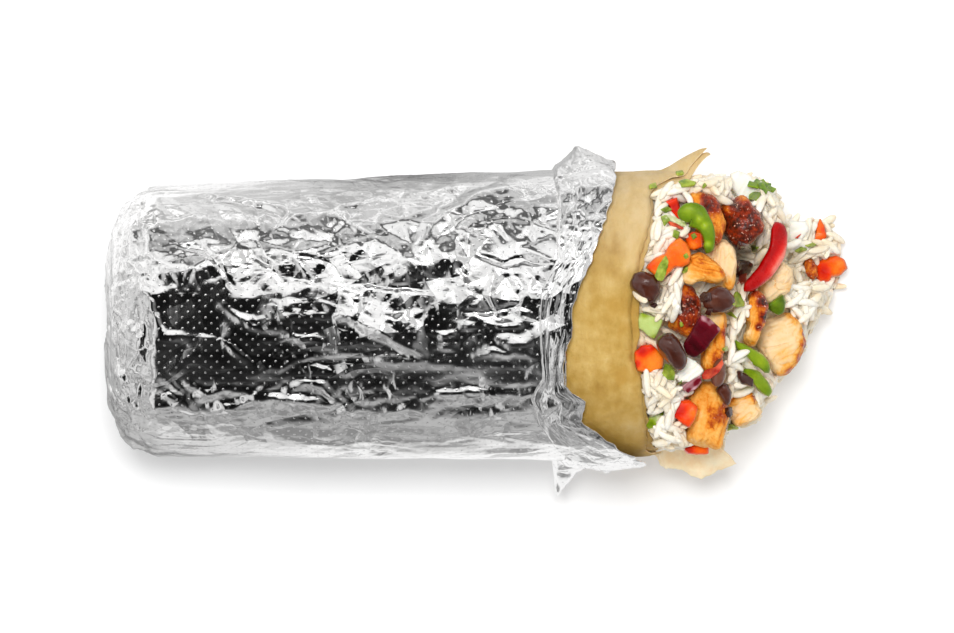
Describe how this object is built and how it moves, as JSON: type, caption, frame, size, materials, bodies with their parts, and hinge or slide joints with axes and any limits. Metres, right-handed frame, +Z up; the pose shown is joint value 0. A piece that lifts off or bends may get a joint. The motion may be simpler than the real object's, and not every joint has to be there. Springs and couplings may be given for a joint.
{
  "type": "burrito",
  "caption": "Chicken burrito lying on its side in a crumpled foil wrapper, open at one end with rice, chicken, beans and chopped vegetables spilling out.",
  "frame": {"origin": "middle of the overall box, at the level of the table it lies on", "axes": "+X along the burrito from its folded end to its open mouth, +Y across it, +Z up"},
  "size_m": [0.201, 0.0928, 0.0802],
  "materials": {
    "foil": "thin embossed foil, crumpled, bright",
    "tortilla": "soft wheat bread, matt, mottled tan",
    "rice": "cooked long-grain white rice, moist",
    "chicken": "grilled chicken, browned and charred in places",
    "glazed_chicken": "grilled chicken with a dark glossy glaze",
    "black_bean": "cooked bean skin, glossy",
    "tomato": "fresh cut tomato, wet",
    "red_pepper": "pepper skin, glossy",
    "green_pepper": "pepper skin, glossy",
    "red_onion": "raw onion skin side, glossy",
    "white_onion": "raw onion, wet",
    "scallion": "raw scallion, wet"
  },
  "bodies": {
    "root": {"black_bean_1": "black_bean", "black_bean_2": "black_bean", "black_bean_3": "black_bean", "black_bean_4": "black_bean", "black_bean_5": "black_bean", "chicken_1": "chicken", "chicken_10": "chicken", "chicken_11": "chicken", "chicken_12": "glazed_chicken", "chicken_2": "chicken", "chicken_3": "chicken", "chicken_4": "chicken", "chicken_5": "glazed_chicken", "chicken_6": "chicken", "chicken_7": "chicken", "chicken_8": "chicken", "chicken_9": "chicken", "foil_wrap": "foil", "green_pepper_1": "green_pepper", "green_pepper_2": "green_pepper", "green_pepper_3": "green_pepper", "green_pepper_4": "green_pepper", "green_pepper_5": "green_pepper", "red_onion_1": "red_onion", "red_onion_2": "red_onion", "red_pepper_strip": "red_pepper", "rice_filling": "rice", "scallion_ring": "scallion", "tomato_1": "tomato", "tomato_2": "tomato", "tomato_3": "tomato", "tomato_4": "tomato", "tomato_5": "tomato", "tomato_6": "tomato", "tomato_7": "tomato", "tomato_8": "tomato", "tortilla": "tortilla", "white_onion_1": "white_onion", "white_onion_2": "white_onion", "white_onion_3": "white_onion"}
  },
  "joints": []
}
